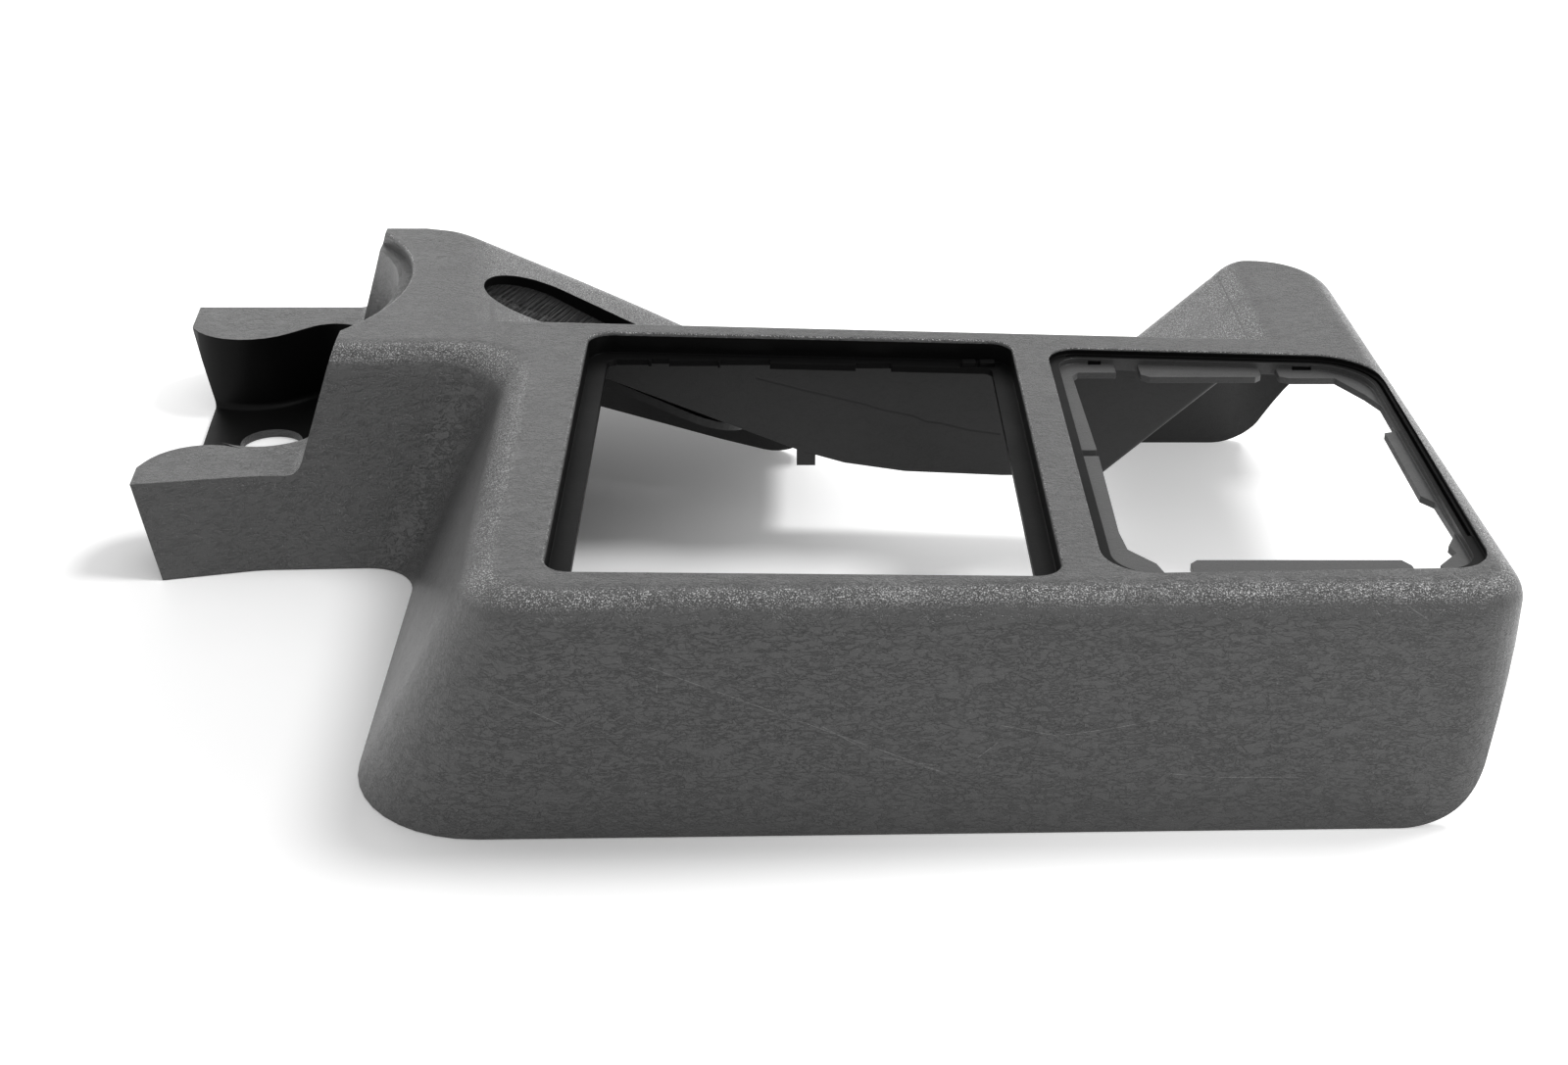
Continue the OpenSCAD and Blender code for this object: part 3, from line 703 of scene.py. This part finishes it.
def plastic(name, base, grain, rough, lines=None, dark_lines=None, sparkle_and_coat=0.0, gloss=0.5):
    """Moulded plastic: leather grain with painted shade in its creases, small colour changes, bright specks on the
    roundings as painted highlight, scuffs.
    """
    m, tree, shader = new_material(name)
    where = node(tree, "TexCoord").outputs["Object"]
    soft = noise(tree, where, 14.0, 4.0)
    fine = noise(tree, where, 1500.0, 2.0, 0.7)
    crease = maths(tree, "MAXIMUM", wrinkles(tree, where, 380.0, 0.0), wrinkles(tree, where, 560.0, 7.0))
    height = maths(tree, "SUBTRACT", maths(tree, "MULTIPLY", fine, 1.3), maths(tree, "MULTIPLY", crease, 0.7))
    colour = mix_colour(tree, soft, grey(base * 0.92), grey(base * 1.1))
    # Painted shade: the grain's creases are darkened as well as sunk.
    colour = mix_colour(tree, maths(tree, "MULTIPLY", crease, 0.32), colour, grey(base * 0.35))
    if sparkle_and_coat:
        # Painted highlight: light specks on faces that turn upwards, such as the top roundings, stand in for glints of
        # the grain there; a few lighter specks also go over every face.
        normal = node(tree, "NewGeometry").outputs["Normal"]
        up = node(tree, "SeparateXYZ", {0: normal}).outputs[2]
        turned = maths(tree, "MULTIPLY", ramp(tree, up, 0.45, 0.8), ramp(tree, up, 0.995, 0.92))
        patchy = ramp(tree, noise(tree, where, 40.0, 3.0, 0.7), 0.2, 0.62, 0.35, 1.0)
        specks = ramp(tree, noise(tree, where, 2600.0, 1.0), 0.5, 0.72)
        painted_sparkle = maths(tree, "MULTIPLY", maths(tree, "MULTIPLY", specks, turned), maths(tree, "MULTIPLY", patchy, sparkle_and_coat))
        colour = mix_colour(tree, maths(tree, "MULTIPLY", painted_sparkle, 0.9), colour, grey(0.6))
        few = maths(tree, "MULTIPLY", ramp(tree, noise(tree, where, 1900.0, 1.0), 0.72, 0.78), 0.35 * sparkle_and_coat)
        colour = mix_colour(tree, few, colour, grey(0.30))
    if lines:
        broken = ramp(tree, noise(tree, where, 160.0, 3.0, 0.7), 0.3, 0.6)
        mask = maths(tree, "MULTIPLY", line_mask(tree, where, lines, 0.00028), broken)
        colour = mix_colour(tree, maths(tree, "MULTIPLY", mask, 0.5), colour, grey(0.25))
        height = maths(tree, "SUBTRACT", height, maths(tree, "MULTIPLY", mask, 0.6))
        scuff = tuple(on_wall(*SCUFF_PX, near_wall))
        gap = node(tree, "VectorMath", {0: where, 1: scuff}, operation="SUBTRACT").outputs[0]
        gap = node(tree, "VectorMath", {0: gap, 1: (62.0, 62.0, 300.0)}, operation="MULTIPLY").outputs[0]
        gap = node(tree, "VectorMath", {0: gap}, operation="LENGTH").outputs["Value"]
        patch = maths(tree, "MULTIPLY", ramp(tree, gap, 1.0, 0.2), ramp(tree, noise(tree, where, 1300.0), 0.45, 0.62))
        colour = mix_colour(tree, maths(tree, "MULTIPLY", patch, 0.5), colour, grey(0.3))
    if dark_lines:
        mask = line_mask(tree, where, dark_lines, 0.00055)
        colour = mix_colour(tree, mask, colour, grey(0.002))
        height = maths(tree, "SUBTRACT", height, maths(tree, "MULTIPLY", mask, 4.0))
    tree.links.new(colour, shader.inputs["Base Color"])
    spread = maths(tree, "ADD", rough - 0.08, maths(tree, "MULTIPLY", noise(tree, where, 60.0, 4.0), 0.16))
    tree.links.new(spread, shader.inputs["Roughness"])
    shader.inputs["IOR"].default_value = 1.49
    shader.inputs["Specular IOR Level"].default_value = gloss
    shader.inputs["Coat Weight"].default_value = 0.5 * sparkle_and_coat
    shader.inputs["Coat Roughness"].default_value = 0.2
    edge = node(tree, "Bevel", {"Radius": 0.0005}, samples=4).outputs[0]
    bump = node(tree, "Bump", {"Strength": grain, "Distance": 0.0004, "Height": height, "Normal": edge})
    tree.links.new(bump.outputs[0], shader.inputs["Normal"])
    tree.links.new(bump.outputs[0], shader.inputs["Coat Normal"])
    return m


def shell_materials():
    scratches = [[on_wall(*p, near_wall) for p in line] for line in SCRATCH_PX]
    crack = [[on_wall(*p, lambda x: far_y(x) - WALL) for p in CRACK_PX]]
    return [plastic("shell_grained", 0.039, 0.85, 0.42, lines=scratches, sparkle_and_coat=1.0),
            # Painted shade: the inside faces are painted at about half the outer colour, as shade under the shell,
            # with a weaker grain.
            plastic("shell_inside", 0.02, 0.1, 0.5, dark_lines=crack),
            # Painted shade: the smooth faces in the openings, slot, groove and cup pocket have a near-black colour and
            # little gloss, standing in for the shade in these recesses.
            plastic("shell_smooth_painted_shade", 0.003, 0.05, 0.45, gloss=0.08),
            plastic("shell_flange", 0.035, 0.2, 0.46, sparkle_and_coat=0.35)]


def bristle_material():
    m, tree, shader = new_material("bristle_black")
    where = node(tree, "TexCoord").outputs["Object"]
    axis = (ON_PANEL.to_3x3() @ Vector((*SLOT_AXIS, 0.0)))
    along = node(tree, "VectorMath", {0: where, 1: tuple(axis)}, operation="DOT_PRODUCT").outputs["Value"]
    strand = node(tree, "TexNoise", {"W": along, "Scale": 1100.0, "Detail": 2.0}, noise_dimensions="1D").outputs["Fac"]
    tuft = noise(tree, where, 260.0, 2.0)
    tone = ramp(tree, maths(tree, "ADD", maths(tree, "MULTIPLY", strand, 0.65), maths(tree, "MULTIPLY", tuft, 0.35)),
                0.4, 0.62)
    tree.links.new(mix_colour(tree, tone, grey(0.001), grey(0.022)), shader.inputs["Base Color"])
    tree.links.new(ramp(tree, tone, 0.0, 1.0, 0.7, 0.4), shader.inputs["Roughness"])
    return m


def frame_material():
    m, tree, shader = new_material("frame_black")
    where = node(tree, "TexCoord").outputs["Object"]
    tone = noise(tree, where, 300.0, 3.0)
    tree.links.new(mix_colour(tree, tone, grey(0.01), grey(0.018)), shader.inputs["Base Color"])
    tree.links.new(ramp(tree, tone, 0.3, 0.7, 0.4, 0.55), shader.inputs["Roughness"])
    bump = node(tree, "Bump", {"Strength": 0.15, "Distance": 0.0001, "Height": tone})
    tree.links.new(bump.outputs[0], shader.inputs["Normal"])
    return m


def screw_material():
    m, tree, shader = new_material("screw_steel")
    where = node(tree, "TexCoord").outputs["Object"]
    tone = noise(tree, where, 1200.0, 3.0)
    tree.links.new(mix_colour(tree, tone, grey(0.3), grey(0.42)), shader.inputs["Base Color"])
    tree.links.new(ramp(tree, tone, 0.3, 0.7, 0.28, 0.42), shader.inputs["Roughness"])
    shader.inputs["Metallic"].default_value = 1.0
    return m


# Bristles
BRISTLE_PITCH = 0.34
BRISTLE_R = 0.16
TUFT = 1.7


def half_width(s):
    """Half width of the slot at distance s along its axis from the wide end's centre."""
    length = math.hypot(*add(SLOT_B, SLOT_A, -1))
    slope = (SLOT_R1 - SLOT_R2) / length
    up = SLOT_R1 - slope * s
    if s < 0:
        up = math.sqrt(max(0.0, SLOT_R1 ** 2 - s * s))
    if s > length:
        up = math.sqrt(max(0.0, SLOT_R2 ** 2 - (s - length) ** 2))
    return up


def meeting(s):
    """The wavy line where the two rows meet."""
    return 0.9 * math.sin(0.16 * s + 0.6) + 0.5 * math.sin(0.43 * s)


def panel_point(s, v, z):
    p = add(add(SLOT_A, SLOT_AXIS, s), left_of(SLOT_AXIS), v)
    return ON_PANEL @ Vector((p[0], p[1], z))


def bristle(bm, root, tip, sag):
    """One three-sided tapering hair, bent a little."""
    axis = (tip - root).normalized()
    side = axis.cross(Vector((0, 0, 1))).normalized()
    up = side.cross(axis)
    rings = []
    for f, r in ((0.0, BRISTLE_R), (0.55, BRISTLE_R * 0.9), (1.0, BRISTLE_R * 0.45)):
        c = root.lerp(tip, f) + up * sag * math.sin(math.pi * f)
        rings.append([bm.verts.new(c + (side * math.cos(w) + up * math.sin(w)) * r)
                      for w in (0.5, 0.5 + 2.094, 0.5 + 4.189)])
    for a, b in zip(rings, rings[1:]):
        for j in range(3):
            bm.faces.new((a[j], a[(j + 1) % 3], b[(j + 1) % 3], b[j]))
    bm.faces.new(rings[-1])


def brush_form(side):
    """A row of bristles over its backing strip, from the slot's edge to the meeting line."""
    z_top = -WALL - COLLAR_H - FIT_GAP + BRUSH_T
    z_low = z_top - BRUSH_T
    length = math.hypot(*add(SLOT_B, SLOT_A, -1))
    first, last = -SLOT_R1 + 0.6, length + SLOT_R2 - 0.6
    steps = 60
    bm = bmesh.new()
    cols = []
    for k in range(steps + 1):
        s = first + (last - first) * k / steps
        edge = side * (half_width(s) - FIT_GAP)
        mid = meeting(s) * min(1.0, half_width(s) / 6) + side * 0.2
        if side * (edge - mid) < 0.1:
            edge = mid + side * 0.1
        cols.append([bm.verts.new(panel_point(s, v, z)) for v, z in
                     ((edge, z_low), (mid, z_low), (mid, z_low + 0.6), (edge, z_low + 0.6))])
    for a, b in zip(cols, cols[1:]):
        for j in range(4):
            bm.faces.new((a[j], a[(j + 1) % 4], b[(j + 1) % 4], b[j]))
    bm.faces.new(cols[0])
    bm.faces.new(cols[-1])
    for layer in range(3):
        s = first
        while s < last:
            w = half_width(s) - FIT_GAP - 0.2
            mid = meeting(s) * min(1.0, w / 6)
            tuft = (math.floor(s / TUFT) + 0.5) * TUFT
            lean = (tuft - s) * 0.55 + random.uniform(-0.5, 0.5)
            tip = mid + side * (random.uniform(-0.35, 0.5) + 1.1 * abs(math.sin(5.3 * math.floor(s / TUFT))))
            z = z_low + 0.75 + 0.3 * layer
            if w - abs(mid) > 1.2:
                bristle(bm, panel_point(s, side * w, z - 0.1), panel_point(s + lean, tip, z + random.uniform(-0.2, 0.15)),
                        random.uniform(-0.1, 0.15))
            s += BRISTLE_PITCH * random.uniform(0.8, 1.25)
    bmesh.ops.recalc_face_normals(bm, faces=bm.faces)
    mesh = bpy.data.meshes.new("brush")
    bm.to_mesh(mesh)
    bm.free()
    mesh.materials.append(BRISTLE)
    ob = bpy.data.objects.new("brush", mesh)
    bpy.context.scene.collection.objects.link(ob)
    return ob


SHELL_MATERIALS = shell_materials()
BRISTLE = bristle_material()

shell = into_row(shell_form(), "shell", "shell_plastic", "console_shell")
smooth_edges(shell)
into_row(brush_form(-1), "near_bristles", "bristle", "near_brush")
into_row(brush_form(1), "far_bristles", "bristle", "far_brush")


def repaint(name, material):
    """A finer material for a CAD node that stays in view."""
    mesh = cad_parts[name].data
    mesh.materials.clear()
    mesh.materials.append(material)


repaint("brush_frame", frame_material())
repaint("frame_screws", screw_material())


# Floor, light and camera
# The one place where the photo's white floor shows a deep shadow
UNDER_RAMP = (0.08, -0.14, 0.0)


def seen_ray(tree):
    """1 for rays from the camera, and for what is mirrored or seen through."""
    paths = node(tree, "LightPath")
    seen = maths(tree, "MAXIMUM", paths.outputs["Is Camera Ray"], paths.outputs["Is Transmission Ray"])
    return maths(tree, "MAXIMUM", seen, paths.outputs["Is Glossy Ray"])


def floor():
    bpy.ops.mesh.primitive_plane_add(size=3.4, location=(0.2, 0.0, -0.0002))
    ob = bpy.context.object
    ob.name = "floor"
    m, tree, shader = new_material("floor_white")
    shader.inputs["Base Color"].default_value = grey(0.95)
    shader.inputs["Roughness"].default_value = 0.9
    shader.inputs["Specular IOR Level"].default_value = 0.1
    where = node(tree, "NewGeometry").outputs["Position"]
    gap = node(tree, "VectorMath", {0: where, 1: UNDER_RAMP}, operation="SUBTRACT").outputs[0]
    away = node(tree, "VectorMath", {0: gap}, operation="LENGTH").outputs["Value"]
    shader.inputs["Emission Color"].default_value = grey(1.0)
    # Painted light: the floor's glow rises from 0 within 0.07 m of UNDER_RAMP to 0.4 beyond 0.26 m, which lightens the
    # floor's shade everywhere but under the lever panel.
    glow = maths(tree, "MULTIPLY", ramp(tree, away, 0.07, 0.26, 0.0, 0.4), seen_ray(tree))
    tree.links.new(glow, shader.inputs["Emission Strength"])
    ob.data.materials.append(m)


def area_light(name, place, aim, size, power):
    light = bpy.data.lights.new(name, "AREA")
    light.shape = "DISK"
    light.size = size
    light.energy = power
    ob = bpy.data.objects.new(name, light)
    bpy.context.scene.collection.objects.link(ob)
    ob.location = place
    ob.rotation_euler = (Vector(aim) - Vector(place)).to_track_quat("-Z", "Y").to_euler()
    return ob


def studio():
    world = bpy.data.worlds.new("studio")
    bpy.context.scene.world = world
    world.use_nodes = True
    back = world.node_tree.nodes["Background"]
    back.inputs["Color"].default_value = (1, 1, 1, 1)
    strength = maths(world.node_tree, "MAXIMUM", seen_ray(world.node_tree), 0.7)
    world.node_tree.links.new(strength, back.inputs["Strength"])
    area_light("key_above", (0.95, 0.1, 1.35), (0.17, -0.08, 0.0), 0.45, 13.0)
    area_light("soft_behind", (-0.9, 2.0, 1.1), (0.17, -0.05, 0.0), 1.0, 5.0)


def camera():
    cam = bpy.data.cameras.new("photo_camera")
    cam.sensor_width = 36.0
    cam.lens = FOCAL_PX / PHOTO_W * cam.sensor_width
    cam.clip_start = 0.02
    ob = bpy.data.objects.new("photo_camera", cam)
    bpy.context.scene.collection.objects.link(ob)
    ob.location = TO_ROW @ EYE
    ob.rotation_euler = (rad(90 - PITCH), 0, 0)
    bpy.context.scene.camera = ob


floor()
studio()
camera()
bpy.context.scene.view_settings.view_transform = "Standard"
